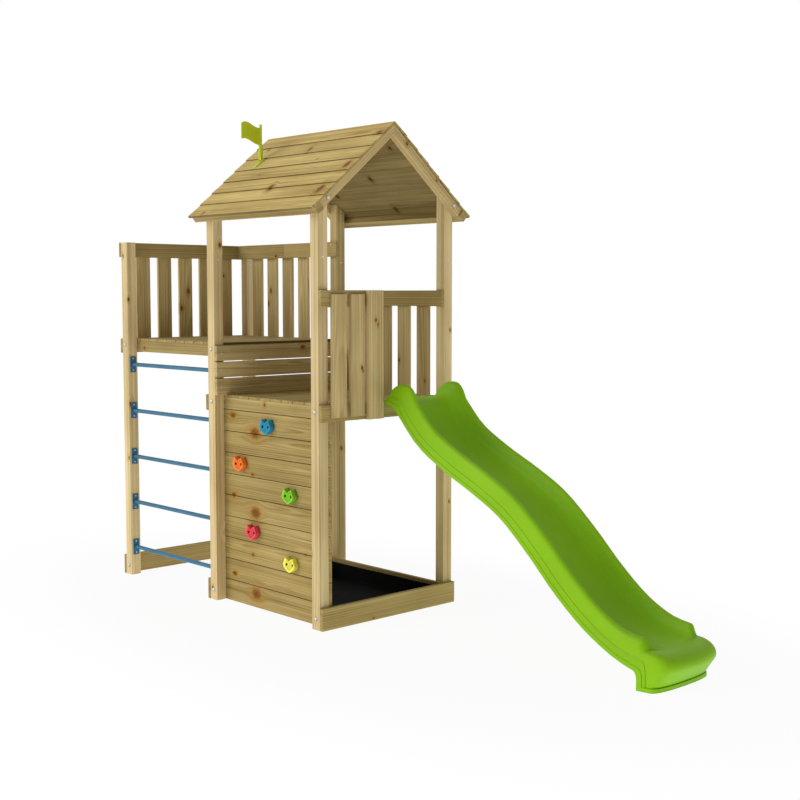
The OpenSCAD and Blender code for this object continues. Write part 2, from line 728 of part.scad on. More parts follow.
// The outer wall below the ridge falls more gently, by its share e of the way to the rim
function fall_at(x, e) = let (u = min(e / slide_soft_share, 1)) (1 - u) * (1 - tip_at(x))
    + u * (1 - slide_shoulder_share) * smooth(fall_x - slide_fall_l * half, nose_x, x);
function wall_at(x) = rise_at(x) * (
    slide_wall_h * (1 - (1 - slide_wall_low_share) * smooth(foot_x - slide_rim_spread, fall_x, x))
    + slide_crest_extra * (1 - smooth(wall_full_x, crest_end_x, x)));
function rim_z(x) = bed_z(x) - slide_rim_drop * rise_at(x)
    - slide_rim_extra * share_of(foot_x - slide_rim_spread, foot_x, x) ^ 2;
function width_at(x) = let (a = slide_lip_w * half, b = slide_w * half - slide_band_out)
    a + (b - a) * smooth(slide_wall_start - slide_flare, slide_wall_start + slide_flare, x);
// Turn of the bed at a station; the nose stands upright
function lean_at(i) = i >= nose_first - 1 ? 0
    : let (a = line[max(i - 1, 0)], b = line[i + 1]) atan2(b[1] - a[1], b[0] - a[0]);
function trail_at(x, k) = x
    - slide_trail * slide_trail_shares[k] * smooth(nose_x - slide_trail_spread, nose_x, x);
function reach_at(x, k) = slide_reach_shares[k]
    + (slide_foot_reach_shares[k] - slide_reach_shares[k]) * smooth(fall_x - slide_trail_spread, fall_x, x);
// Down the nose: share of the height left above the flange, share of the way, and turn of the side
function low_share(i) = i < nose_first ? 1 : max((line[i][1] - flange_z) / (nose_z - flange_z), 0);
function nose_share(i) = max(i - nose_first + 1, 0) / (line_n - nose_first);
function side_turn(i) = slide_turn_r
    * sin(quarter_turn * min(max(i - nose_first + 1, 0) / slide_nose_steps, 1));
// How far the foot stands back at the side distance y, and the place along X with the nose's share b
function round_back(x, y) = slide_nose_bulge * smooth(fall_x, nose_x, x)
    * (y / (slide_w * half)) ^ slide_nose_power;
function place_x(i, x, y, b) = i < nose_first ? x : x + side_turn(i) * (1 - b) + b * (
    line[i][0] - nose_x + round_back(nose_x, y) * (1 - slide_nose_low_share) * nose_share(i));

// One half section: side distance, height above the bed, share of the raised band and place along X
function half_section(i) = let (
        x = i < nose_first ? line[i][0] : nose_x, w = width_at(x), wall = wall_at(x), low = low_share(i),
        s = smooth(fall_x, nose_x, x), ridge = slide_ridge_share - slide_foot_tuck_share * s
    ) concat(
    [for (p = slide_bed_section_shares) let (r = p[0] / slide_ridge_share, y = r * ridge * w)
        [y, low * wall * tip_at(x) * (p[1] + (r ^ slide_foot_power - p[1]) * s), 0,
            place_x(i, x - round_back(x, y), y, 1)]],
    [for (k = [0:len(slide_outer_shares) - 1]) let (
            e = slide_outer_shares[k], b = max(1 - e / slide_upright_share, 0),
            y = w * (ridge + (1 - ridge) * reach_at(x, k)), t = trail_at(x, k) - round_back(x, y)
        ) [
            y, low * (wall * (1 - e - fall_at(x, e) * b) + (rim_z(t) - bed_z(x)) * e),
            slide_band_shares[k], place_x(i, t, y, b)
        ]]
);
function section(i) = let (h = half_section(i), n = len(h))
    concat([for (k = [n - 1:-1:1]) [-h[k][0], h[k][1], h[k][2], h[k][3]]], h);
function base_point(i, q) = let (a = lean_at(i))
    [q[3] - q[1] * sin(a), q[0], max(line[i][1] + q[1] * cos(a), 0)];
sections = [for (i = [0:line_n - 1]) section(i)];
cols = len(sections[0]);
grid = [for (i = [0:line_n - 1]) [for (q = sections[i]) base_point(i, q)]];
function unit(v) = v / norm(v);
// The rim takes the direction of the column beside it
function normal_at(i, j) = let (k = min(max(j, 1), cols - 2)) unit(cross(
    grid[min(i + 1, line_n - 1)][k] - grid[max(i - 1, 0)][k],
    grid[i][k + 1] - grid[i][k - 1]
));
function flat_foot(i, v) = i == line_n - 1 ? [v[0], v[1], 0] : [v[0], v[1], max(v[2], 0)];
function band_out(i, j) = slide_band_out * (i >= flange_first ? 1 : sections[i][j][2]);
outer_skin = [for (i = [0:line_n - 1]) for (j = [0:cols - 1])
    flat_foot(i, grid[i][j] + band_out(i, j) * normal_at(i, j))];
inner_skin = [for (i = [0:line_n - 1]) for (j = [0:cols - 1])
    flat_foot(i, grid[i][j] - slide_t * normal_at(i, j))];

module slide() {
    back = line_n * cols;
    function id(i, j) = i * cols + j;
    skin = [for (i = [0:line_n - 2]) for (j = [0:cols - 2])
        let (a = id(i, j), b = id(i + 1, j), c = id(i + 1, j + 1), d = id(i, j + 1))
        [[a, c, b], [a, d, c], [back + a, back + b, back + c], [back + a, back + c, back + d]]];
    ends = [for (j = [0:cols - 2]) for (i = [0, line_n - 1])
        let (a = id(i, j), b = id(i, j + 1), f = i == 0)
        f ? [[a, back + a, back + b], [a, back + b, b]] : [[a, back + b, back + a], [a, b, back + b]]];
    rims = [for (i = [0:line_n - 2]) for (j = [0, cols - 1])
        let (a = id(i, j), b = id(i + 1, j), f = j == 0)
        f ? [[a, b, back + b], [a, back + b, back + a]] : [[a, back + b, b], [a, back + a, back + b]]];
    color("YellowGreen") translate([x_right, slide_y, 0])
        polyhedron(
            concat(outer_skin, inner_skin), [for (s = concat(skin, ends, rims)) for (t = s) t], convexity = 6
        );
}

// Flag base on one roof board: a tongue with two ears
flag_x = roof_x0 + flag_x_share * roof_l;
board_turn = roof_pitch - atan(roof_taper);
flag_foot = slope_at(flag_board * exposure, roof_butt);
module on_flag_board() {
    translate([flag_x, flag_foot[0], flag_foot[1]]) rotate([board_turn, 0, 0])
        translate([0, flag_base_inset, seat_gap]) children();
}
flag_pin_u = flag_base_l - flag_pin_back;
pin_y = flag_foot[0] + (flag_base_inset + flag_pin_u) * cos(board_turn)
    - (flag_pin_up + seat_gap) * sin(board_turn);
pin_z = flag_foot[1] + (flag_base_inset + flag_pin_u) * sin(board_turn)
    + (flag_pin_up + seat_gap) * cos(board_turn);
module flag_side_profile(w) {
    translate([-w * half, 0, 0]) rotate([90, 0, 90]) linear_extrude(w) children();
}
module flag_ear_outline() {
    translate([flag_pin_u, flag_pin_up]) circle(d = knuckle_d);
    translate([flag_pin_u - knuckle_d * half, 0]) square([knuckle_d, flag_pin_up]);
}
module flag_base() {
    gap_w = flag_base_w - 2 * flag_ear_t;
    color("YellowGreen") on_flag_board() difference() {
        union() {
            flag_side_profile(flag_base_w)
                polygon([[0, 0], [flag_base_l, 0], [flag_base_l, flag_tip_t],
                    [flag_pin_u, flag_base_t - flag_tip_t],
                    [flag_pin_u * half, flag_base_t], [0, flag_tip_t]]);
            for (d = [-1, 1]) translate([d * (flag_base_w - flag_ear_t) * half, 0, 0])
                flag_side_profile(flag_ear_t) flag_ear_outline();
        }
        translate([0, flag_pin_u, flag_pin_up]) rotate([0, 90, 0]) {
            cylinder(d = flag_pin_d + pin_gap, h = flag_base_w + 2 * cut, center = true);
            cylinder(d = knuckle_d + 2 * flag_ear_gap, h = gap_w, center = true);
        }
    }
}

// Knuckle that tilts on the pin and carries the pole in a cup
cup_d = pole_d + 2 * cup_wall;
cup_z = knuckle_rise + cup_h;
spigot_d = pole_d - 2 * spigot_cut;
module flag_knuckle() {
    w = flag_base_w - 2 * flag_ear_t - 2 * flag_ear_gap;
    color("YellowGreen") translate([flag_x, pin_y, pin_z]) difference() {
        union() {
            rotate([0, 90, 0]) cylinder(d = knuckle_d - flag_ear_gap, h = w, center = true);
            translate([-w * half, -w * half, 0]) cube([w, w, knuckle_rise + cup_floor]);
            translate([0, 0, knuckle_rise]) cylinder(d = cup_d, h = cup_h);
            translate([0, 0, cup_z - cup_ring_h]) cylinder(d = cup_d + 2 * cup_ring_out, h = cup_ring_h);
        }
        rotate([0, 90, 0]) cylinder(d = flag_pin_d + 2 * pin_gap, h = w + 2 * cut, center = true);
        translate([0, 0, knuckle_rise + cup_floor]) cylinder(d = spigot_d + 2 * spigot_gap, h = cup_h);
    }
}
module flag_pin() {
    l = flag_base_w + 2 * seat_gap;
    color("DimGray") translate([flag_x, pin_y, pin_z]) rotate([0, 90, 0]) {
        cylinder(d = flag_pin_d, h = l, center = true);
        for (d = [-1, 1]) translate([0, 0, d * (l + flag_pin_head_t) * half])
            cylinder(d = flag_pin_head_d, h = flag_pin_head_t, center = true);
    }
}

// Flag: a pole with a spigot and a waving plate with a plain star
function wave_at(u) = let (turn = (flag_wave_turn + flag_wave_start) * u - flag_wave_start)
    flag_wave * (cos(flag_wave_start) - cos(turn)) * half;
module flag_outline() {
    upper = [for (k = [0:flag_points]) let (u = k / flag_points)
        [-u * flag_w, wave_at(u) - flag_corner * u ^ flag_points]];
    lower = [for (k = [flag_points:-1:0]) let (u = k / flag_points) [-u * flag_w, wave_at(u) - flag_h]];
    polygon(concat(upper, lower));
}
module star_outline(r) {
    polygon([for (k = [0:2 * star_points - 1])
        let (a = 90 + 180 * k / star_points, q = k % 2 == 0 ? r : r * star_in_share)
        [q * cos(a), q * sin(a)]]);
}
module flag() {
    pole_z = pin_z + cup_z + seat_gap;
    flag_top = flag_h + flag_clear;
    color("YellowGreen") translate([flag_x, pin_y, pole_z]) union() {
        cylinder(d = pole_d, h = pole_h);
        translate([0, 0, -cup_h + cup_floor]) cylinder(d = spigot_d, h = cup_h);
        translate([0, 0, flag_top]) {
            flag_side_profile(flag_t) flag_outline();
            flag_side_profile(flag_t + 2 * star_out)
                translate([-flag_w * half - pole_d * half * half, wave_at(half) - flag_h * half])
                star_outline(flag_h * star_r_share);
        }
    }
}

post_front_left();
post_front_right();
post_back_right();
post_back_left();
balcony_post_front();
balcony_post_back();
ground_beam_right();
ground_beam_back();
ground_beam_left();
ground_beam_balcony();
sandpit_liner();
deck_beam_right();
deck_beam_left();
deck_joist_front();
deck_joist_middle();
deck_joist_back();
deck_boards();
wall_boards();
infill_boards();
balcony_beam();
balcony_joist_front();
balcony_joist_middle();
balcony_joist_back();
balcony_boards();
rail_back();
rail_slide_side();
balcony_rail_left();
balcony_rail_back_left();
balcony_rail_back_right();
slats_back();
slats_slide_side();
slats_balcony_left();
slats_balcony_back();
slide_jamb();
rafter_right_front();
rafter_right_back();
rafter_left_front();
rafter_left_back();
eave_batten_front();
eave_batten_back();
roof_boards_front();
roof_boards_back();
for (i = [0:rung_count - 1]) rung(i);
for (i = [0:len(HOLDS) - 1]) hold(i);
slide();
flag_base();
flag_knuckle();
flag_pin();
flag();
coach_screws();
hold_bolts();
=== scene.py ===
"""Looks of the wooden climbing frame: timber, plastics, metal, liner, small screws, light and camera."""
import math

import bmesh
import bpy
from mathutils import Euler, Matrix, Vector, noise


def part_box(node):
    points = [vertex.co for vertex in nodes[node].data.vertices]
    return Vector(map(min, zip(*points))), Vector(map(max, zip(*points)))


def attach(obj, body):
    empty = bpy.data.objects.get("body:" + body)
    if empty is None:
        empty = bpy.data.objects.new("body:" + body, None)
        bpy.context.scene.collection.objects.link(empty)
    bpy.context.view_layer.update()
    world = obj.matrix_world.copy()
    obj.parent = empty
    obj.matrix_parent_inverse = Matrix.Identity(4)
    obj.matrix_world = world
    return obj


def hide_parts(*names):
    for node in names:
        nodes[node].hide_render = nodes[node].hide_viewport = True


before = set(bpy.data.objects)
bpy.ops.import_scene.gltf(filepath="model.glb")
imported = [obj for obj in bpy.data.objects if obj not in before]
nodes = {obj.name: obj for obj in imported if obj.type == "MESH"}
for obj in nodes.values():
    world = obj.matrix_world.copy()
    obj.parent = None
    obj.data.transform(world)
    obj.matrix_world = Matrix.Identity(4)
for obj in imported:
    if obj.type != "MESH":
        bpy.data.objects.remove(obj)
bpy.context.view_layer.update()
scene = bpy.context.scene
X, Y, Z = Vector((1, 0, 0)), Vector((0, 1, 0)), Vector((0, 0, 1))

# Boards of the frame: counts, lengths in metres, pitch of the roof in radians
WALL_BOARDS = 9
DECK_BOARDS = 10
INFILL_BOARDS = 3
SLATS = 5
SIDE_SLATS = 2
SLAT_WIDTH = 0.1
ROOF_PITCH = math.radians(40)
ROOF_EAVE_Y = 0.5725
ROOF_EAVE_Z = 2.2103
ROOF_EXPOSURE = 0.10676


def rgb(red, green, blue):
    """Linear colour of an 8-bit one."""
    def linear(value):
        share = value / 255
        return share / 12.92 if share <= 0.04045 else ((share + 0.055) / 1.055) ** 2.4
    return (linear(red), linear(green), linear(blue), 1.0)


class Tree:
    """The node tree of one material or world, built from short calls."""

    def __init__(self, owner):
        owner.use_nodes = True
        self.owner = owner
        self.tree = owner.node_tree
        self.tree.nodes.clear()
        self.coordinates = self.add("ShaderNodeTexCoord").outputs
        self.place = self.coordinates["Object"]
        self.normal = self.coordinates["Normal"]

    def add(self, kind, inputs=None, **settings):
        node = self.tree.nodes.new(kind)
        for key, value in settings.items():
            setattr(node, key, value)
        for key, value in (inputs or {}).items():
            self.feed(node.inputs[key], value)
        return node

    def feed(self, socket, value):
        if isinstance(value, bpy.types.NodeSocket):
            self.tree.links.new(value, socket)
        else:
            socket.default_value = value

    def work_out(self, kind, operation, values):
        node = self.add(kind, operation=operation)
        for socket, value in zip(node.inputs, values):
            self.feed(socket, value)
        return node.outputs

    def math(self, operation, *values):
        return self.work_out("ShaderNodeMath", operation, values)[0]

    def plus(self, a, b):
        return self.math("ADD", a, b)

    def minus(self, a, b):
        return self.math("SUBTRACT", a, b)

    def times(self, a, b):
        return self.math("MULTIPLY", a, b)

    def times_plus(self, a, factor, b):
        return self.math("MULTIPLY_ADD", a, factor, b)

    def vector_math(self, operation, *values):
        return self.work_out("ShaderNodeVectorMath", operation, values)["Vector"]

    def dot(self, a, b):
        return self.work_out("ShaderNodeVectorMath", "DOT_PRODUCT", (a, b))["Value"]

    def length(self, a):
        return self.work_out("ShaderNodeVectorMath", "LENGTH", (a,))["Value"]

    def vector(self, x, y, z):
        return self.add("ShaderNodeCombineXYZ", {0: x, 1: y, 2: z}).outputs[0]

    def noise(self, vector, stretch, detail=2.0):
        scaled = self.vector_math("MULTIPLY", vector, stretch)
        node = self.add("ShaderNodeTexNoise", {"Vector": scaled, "Scale": 1.0, "Detail": detail})
        return node.outputs["Fac"]

    def step(self, value, low, high, start=0.0, end=1.0):
        inputs = {"Value": value, "From Min": low, "From Max": high, "To Min": start, "To Max": end}
        return self.add("ShaderNodeMapRange", inputs, interpolation_type="SMOOTHSTEP").outputs[0]

    def mix(self, share, a, b):
        node = self.add("ShaderNodeMix", {0: share, 6: a, 7: b}, data_type="RGBA")
        return node.outputs[2]

    def scale(self, colour, factor):
        if isinstance(colour, tuple):
            colour = colour[:3]
        node = self.add("ShaderNodeVectorMath", {0: colour, "Scale": factor}, operation="SCALE")
        return node.outputs[0]

    def surface(self, colour, roughness, height, relief, strength=0.6, **values):
        """Principled surface; relief is the height of the bump in metres."""
        inputs = {"Height": height, "Distance": relief, "Strength": strength}
        bump = self.add("ShaderNodeBump", inputs)
        inputs = {"Base Color": colour, "Roughness": roughness, "Normal": bump.outputs[0]}
        inputs.update({key.replace("_", " "): value for key, value in values.items()})
        shader = self.add("ShaderNodeBsdfPrincipled", inputs)
        self.add("ShaderNodeOutputMaterial", {"Surface": shader.outputs[0]})
        return self.owner


def material_tree(name):
    return Tree(bpy.data.materials.new(name))


# Timber: tones are light and dark wood; knots go from halo to core

PALE = (rgb(216, 196, 148), rgb(184, 157, 106))
SIDE = (rgb(200, 178, 125), rgb(159, 135, 87))
TREATED = (rgb(174, 154, 99), rgb(137, 114, 62))
WALL = (rgb(173, 151, 94), rgb(136, 114, 60))
# SHADY: tone of the slats and infill; on the back post it is painted shade
SHADY = (rgb(197, 176, 122), rgb(156, 132, 82))
ROOF = (rgb(224, 198, 127), rgb(177, 147, 80))
KNOT = (rgb(156, 119, 48), rgb(148, 97, 10), rgb(102, 59, 2))
# Dark of joints and splits, also of the painted shadow beneath the roof laps
DARK_LINE = rgb(62, 48, 26)
NO_KNOT = 9.0
KNOT_CELL = 0.21
KNOT_CELL_STRETCH = 1.5
KNOT_LEAST, KNOT_GROWTH = 0.005, 0.009
SPLIT_CORE, SPLIT_EDGE = 0.0008, 0.0026
SPLIT_WAVER = 0.003
SPLIT_END = 0.01
RINGS_PER_METRE = 84.0
WOOD_RELIEF = 0.0007


def placed_knots(t, flat, knots):
    """Distance to the nearest of the placed knots, 1 at its edge, and how far the grain is pushed aside."""
    distance = NO_KNOT
    bend = 0.0
    for at, side, half_l, half_w in knots:
        offset = t.vector_math("SUBTRACT", flat, (at, side, 0.0))
        reach = t.length(t.vector_math("MULTIPLY", offset, (1 / half_l, 1 / half_w, 0.0)))
        aside = t.times(t.dot(offset, (0.0, 1.0, 0.0)), t.step(reach, 0.5, 2.8, 0.9, 0.0))
        bend = t.plus(bend, aside)
        distance = t.math("MINIMUM", distance, reach)
    return distance, bend


def chance_knots(t, grain, share):
    """The same for knots strewn by chance over cells of every face, a share of which have one."""
    along = t.dot(grain, (1 / KNOT_CELL / KNOT_CELL_STRETCH, 0.0, 0.0))
    spread = t.vector(along, t.dot(grain, (0.0, 1 / KNOT_CELL, 1 / KNOT_CELL)), 0.0)
    cells = t.add("ShaderNodeTexVoronoi", {"Vector": spread, "Scale": 1.0}, voronoi_dimensions="2D").outputs
    fate = t.add("ShaderNodeSeparateColor", {0: cells["Color"]}).outputs
    size = t.times_plus(fate[1], KNOT_GROWTH, KNOT_LEAST)
    distance = t.math("DIVIDE", t.times(cells["Distance"], KNOT_CELL), size)
    distance = t.plus(distance, t.step(fate[0], share, share + 0.01, 0.0, NO_KNOT))
    offset = t.vector_math("SUBTRACT", spread, cells["Position"])
    aside = t.times(t.dot(offset, (0.0, KNOT_CELL, 0.0)), t.step(distance, 0.5, 4.5, 0.9, 0.0))
    return distance, aside


def joint_and_shadow_line(t, row, pitch, half, strength):
    """Strength of the dark line between two boards of a row: joints on the wall and decks, painted shadow
    beneath the laps on the roof.
    """
    edge = t.minus(0.5, t.math("ABSOLUTE", t.minus(t.math("FRACT", row), 0.5)))
    return t.step(t.times(edge, pitch), half * 0.4, half, strength, 0.0)


def split_line(t, flat, waver, split):
    """Strength of a thin split that opens along its length."""
    start, side, end, side_end = split
    along, across, _ = t.add("ShaderNodeSeparateXYZ", {0: flat}).outputs
    line = t.times_plus(t.minus(along, start), (side_end - side) / (end - start), side)
    line = t.plus(line, t.times(t.minus(waver, 0.5), SPLIT_WAVER))
    gap = t.math("ABSOLUTE", t.minus(across, line))
    ends = t.times(t.step(along, start, end), t.step(along, end - SPLIT_END, end, 1.0, 0.0))
    return t.times(t.step(gap, SPLIT_CORE, SPLIT_EDGE, 1.0, 0.0), ends)


def timber(
    name, along, across, tones, board=None, knots=(), splits=(), knot_share=0.35, joint_and_lap_shadow=None, painted_down_shade=1.0,
):
    """Sawn softwood with its grain along one direction.

    board is the direction, start and pitch of a row of boards in one node. knots are (along, across, half
    length, half width) and splits are (along 0, across 0, along 1, across 1), both in metres. The dark line
    between the boards has a half width and strength: joints on the wall and decks, painted shadow beneath
    each lap on the roof. The last argument is painted shade: the share of the colour left on faces that
    look down.
    """
    t = material_tree(name)
    out = along.cross(across)
    lot = t.times(t.add("ShaderNodeObjectInfo").outputs["Random"], 91.7)
    if board:
        direction, start, pitch = board
        row = t.math("DIVIDE", t.minus(t.dot(t.place, direction), start), pitch)
        lot = t.plus(t.math("FLOOR", row), lot)
    chance = t.add("ShaderNodeTexWhiteNoise", {"W": lot}, noise_dimensions="1D").outputs["Color"]
    luck = t.add("ShaderNodeSeparateColor", {0: chance}).outputs
    flat = t.vector(*[t.dot(t.place, axis) for axis in (along, across, out)])
    grain = t.vector_math("ADD", flat, t.vector_math("MULTIPLY", chance, (9.0, 5.0, 5.0)))

    # Knots, ragged at the edge, with the grain pushed aside round them
    distance, bend = placed_knots(t, flat, knots) if knots else chance_knots(t, grain, knot_share)
    ragged = t.noise(grain, (60.0, 110.0, 110.0), 3.0)
    distance = t.times(distance, t.times_plus(ragged, 1.3, 0.35))
    halo = t.step(distance, 0.7, 3.0, 1.0, 0.0)
    knot = t.step(distance, 0.7, 1.15, 1.0, 0.0)
    core = t.step(distance, 0.3, 1.0, 1.0, 0.0)
    lines = t.vector_math("SUBTRACT", grain, t.vector(0.0, bend, 0.0))

    # Growth rings: arcs about a pith that slants through each board, or plain layers in one piece
    broad = t.step(t.noise(lines, (0.45, 17.0, 9.0), 2.0), 0.3, 0.7)
    narrow = t.step(t.noise(lines, (0.8, 85.0, 40.0), 3.0), 0.3, 0.7)
    fibre = t.noise(lines, (7.0, 330.0, 330.0), 3.0)
    cloud = t.noise(grain, (2.2, 4.0, 4.0), 3.0)
    wobble = t.times_plus(t.noise(grain, (1.5, 0.0, 0.0), 2.0), 0.02, -0.01)
    if board:
        pith_across = t.step(luck[1], 0.0, 1.0, 0.2, 0.8)
        pith_along = t.step(luck[2], 0.0, 1.0, -1.0, 0.6)
        aside = t.times(t.minus(t.math("FRACT", row), pith_across), pitch)
        reach = t.minus(t.dot(flat, (1.0, 0.0, 0.0)), pith_along)
        slant = t.times_plus(reach, t.times_plus(luck[0], 0.03, 0.012), wobble)
        depth = t.length(t.vector(t.minus(aside, bend), slant, 0.0))
    else:
        depth = t.plus(t.dot(lines, (0.0, 0.9, 0.42)), t.times(wobble, 0.4))
    ring = t.math("FRACT", t.times_plus(depth, RINGS_PER_METRE, t.times(broad, 0.35)))
    late = t.times(t.step(ring, 0.1, 0.82), t.step(ring, 0.86, 1.0, 1.0, 0.0))
    late = t.times(late, t.step(t.noise(grain, (1.1, 14.0, 14.0), 2.0), 0.3, 0.7, 0.25, 1.0))

    # Colour: rings, streaks, clouds, the tone of each board and the knots
    share = t.times_plus(broad, 0.3, t.times(narrow, 0.4))
    share = t.plus(share, t.times_plus(late, 0.46, t.times(fibre, 0.3)))
    share = t.plus(share, t.step(cloud, 0.3, 0.7, -0.28, 0.0))
    colour = t.mix(share, t.scale(tones[0], 1.06), t.scale(tones[1], 0.9))
    level = t.times_plus(luck[0], 0.13, 1.0)
    colour = t.scale(colour, t.times(level, t.step(fibre, 0.2, 0.8, 0.94, 1.05)))
    colour = t.mix(t.times(halo, 0.45), colour, KNOT[0])
    colour = t.mix(t.times(knot, 0.96), colour, KNOT[1])
    colour = t.mix(t.times(core, t.step(ragged, 0.35, 0.6, 0.45, 1.0)), colour, KNOT[2])
    height = t.times_plus(late, -0.35, fibre)

    # Joints between the boards with painted shadow beneath the roof laps, splits, end grain, and painted
    # shade on faces that look down
    if joint_and_lap_shadow:
        seam_and_shadow = joint_and_shadow_line(t, row, pitch, *joint_and_lap_shadow)
        colour = t.mix(seam_and_shadow, colour, DARK_LINE)
        height = t.times_plus(seam_and_shadow, -1.5, height)
    for split in splits:
        crack = split_line(t, flat, broad, split)
        colour = t.mix(t.times(crack, 0.9), colour, DARK_LINE)
        height = t.times_plus(crack, -3.0, height)
    facing = t.math("ABSOLUTE", t.dot(t.normal, along))
    colour = t.scale(colour, t.step(facing, 0.75, 0.95, 1.0, 0.94))
    # Painted shade: faces that look down keep only a share of their colour
    colour = t.scale(colour, t.step(t.dot(t.normal, Z), -0.1, 0.1, painted_down_shade, 1.0))
    height = t.times_plus(core, -0.8, height)
    roughness = t.times_plus(fibre, 0.2, t.times_plus(knot, -0.12, 0.55))
    return t.surface(colour, roughness, height, WOOD_RELIEF, Specular_IOR_Level=0.15)


def dress(material, *names):
    for name in names:
        nodes[name].data.materials.clear()
        nodes[name].data.materials.append(material)


def extent(name, direction):
    """Lowest and highest place of a node along a direction."""
    return [corner.dot(direction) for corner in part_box(name)]


def board_row(name, direction, count):
    """Direction, start and pitch of a row of equal boards in one node, each in the middle of its pitch."""
    low, high = extent(name, direction)
    return direction, low, (high - low) / count


def slat_row(name, direction, count):
    """The same for slats with gaps between them."""
    low, high = extent(name, direction)
    gap = (high - low - count * SLAT_WIDTH) / (count - 1)
    return direction, low - gap / 2, SLAT_WIDTH + gap


# Posts, beams and joists
BACK_POST = "post_back_left"
LIT_POSTS = ["post_front_left", "post_front_right", "post_back_right"]
LIT_POSTS += ["balcony_post_front", "balcony_post_back"]
POST_KNOT_SHARE = 0.45
JOIST_KNOTS = [(-0.527, 1.163, 0.011, 0.012), (-0.06, 1.14, 0.006, 0.006)]
dress(timber("timber_post", Z, X, PALE, knot_share=POST_KNOT_SHARE), *LIT_POSTS)
# The back post takes the darker SHADY tone, not PALE: painted shade of the roof
dress(timber("timber_post_back_painted_shade", Z, X, SHADY, knot_share=POST_KNOT_SHARE), BACK_POST)
dress(
    timber("timber_beam_y", Y, Z, TREATED), "ground_beam_right", "ground_beam_left", "ground_beam_balcony",
    "deck_beam_right", "deck_beam_left", "balcony_beam", "rail_slide_side", "balcony_rail_left",
)
dress(
    timber("timber_beam_x", X, Z, TREATED), "ground_beam_back", "deck_joist_middle", "deck_joist_back",
    "balcony_joist_front", "balcony_joist_middle", "balcony_joist_back", "rail_back",
    "balcony_rail_back_left", "balcony_rail_back_right", "eave_batten_front", "eave_batten_back",
)
dress(timber("timber_joist", X, Z, TREATED, knots=JOIST_KNOTS), "deck_joist_front")

# Climbing wall, decks and the boards between them
WALL_KNOTS = [
    (-0.828, 1.086, 0.03, 0.018), (-0.619, 0.999, 0.048, 0.034), (-0.646, 0.761, 0.015, 0.01),
    (-0.827, 0.625, 0.028, 0.016), (-0.62, 0.544, 0.048, 0.036), (-0.648, 0.3, 0.015, 0.01),
    (-0.825, 0.166, 0.028, 0.016), (-0.618, 0.078, 0.048, 0.036), (-0.17, 0.37, 0.012, 0.006),
]
WALL_SPLITS = [(-0.53, 0.907, -0.04, 0.905), (-0.53, 0.459, -0.04, 0.452)]
WALL_JOINT = (0.0026, 0.85)
DECK_JOINT = (0.003, 0.85)
wall_row = board_row("wall_boards", Z, WALL_BOARDS)
dress(timber("timber_wall", X, Z, WALL, wall_row, WALL_KNOTS, WALL_SPLITS, joint_and_lap_shadow=WALL_JOINT), "wall_boards")
for place in ("deck", "balcony"):
    boards = place + "_boards"
    deck_row = board_row(boards, X, DECK_BOARDS)
    dress(timber("timber_" + place, Y, X, TREATED, deck_row, joint_and_lap_shadow=DECK_JOINT), boards)
infill_row = board_row("infill_boards", Z, INFILL_BOARDS)
dress(timber("timber_infill", Y, Z, SHADY, infill_row), "infill_boards")

# Slats and the jamb beside the slide
SLAT_KNOTS = {
    "slats_back": [(1.391, -0.349, 0.015, 0.009), (1.62, -0.66, 0.012, 0.008), (1.28, -0.13, 0.011, 0.007)],
    "slats_balcony_back": [
        (1.799, -1.587, 0.02, 0.01), (1.714, -1.611, 0.018, 0.009), (1.95, -1.12, 0.01, 0.008),
    ],
    "slats_balcony_left": [
        (1.799, 0.018, 0.022, 0.012), (1.686, -0.036, 0.02, 0.011), (1.9, 0.3, 0.01, 0.008),
    ],
}
SIDE_KNOTS = [(1.389, -0.228, 0.012, 0.008), (1.372, -0.222, 0.012, 0.005), (1.449, -0.334, 0.016, 0.004)]
JAMB_KNOTS = [(1.641, -0.14, 0.011, 0.009), (1.618, -0.126, 0.013, 0.006)]
for name, knots in SLAT_KNOTS.items():
    across = Y if name == "slats_balcony_left" else X
    dress(timber("timber_" + name, Z, across, SHADY, slat_row(name, across, SLATS), knots), name)
side_row = slat_row("slats_slide_side", Y, SIDE_SLATS)
dress(timber("timber_slats_side", Z, Y, SIDE, side_row, SIDE_KNOTS), "slats_slide_side")
dress(timber("timber_jamb", Z, Y, SIDE, knots=JAMB_KNOTS), "slide_jamb")

# Roof: knots are placed along X and up the slope from the eave
ROOF_KNOTS = [
    (-0.477, 0.22, 0.02, 0.028), (0.0, 0.165, 0.024, 0.04), (-0.467, 0.573, 0.013, 0.024),
    (-0.898, 0.622, 0.009, 0.012), (-0.905, 0.026, 0.01, 0.012), (0.03, 0.37, 0.02, 0.034),
    (-0.3, 0.46, 0.006, 0.007), (-0.72, 0.36, 0.006, 0.006), (0.045, 0.655, 0.024, 0.016),
]
BACK_KNOTS = [
    (-0.447, 0.364, 0.014, 0.022), (-0.441, 0.11, 0.014, 0.022), (-0.85, 0.25, 0.012, 0.014),
    (-0.1, 0.58, 0.012, 0.016), (-0.7, 0.63, 0.01, 0.012),
]
RAFTER_KNOTS = [(1.591, 2.046, 0.014, 0.01), (1.03, 2.04, 0.014, 0.01), (1.3, 2.05, 0.008, 0.006)]
# Roof laps: painted shadow beneath each board's lower edge
ROOF_PAINTED_LAP_SHADOW = (0.003, 0.18)
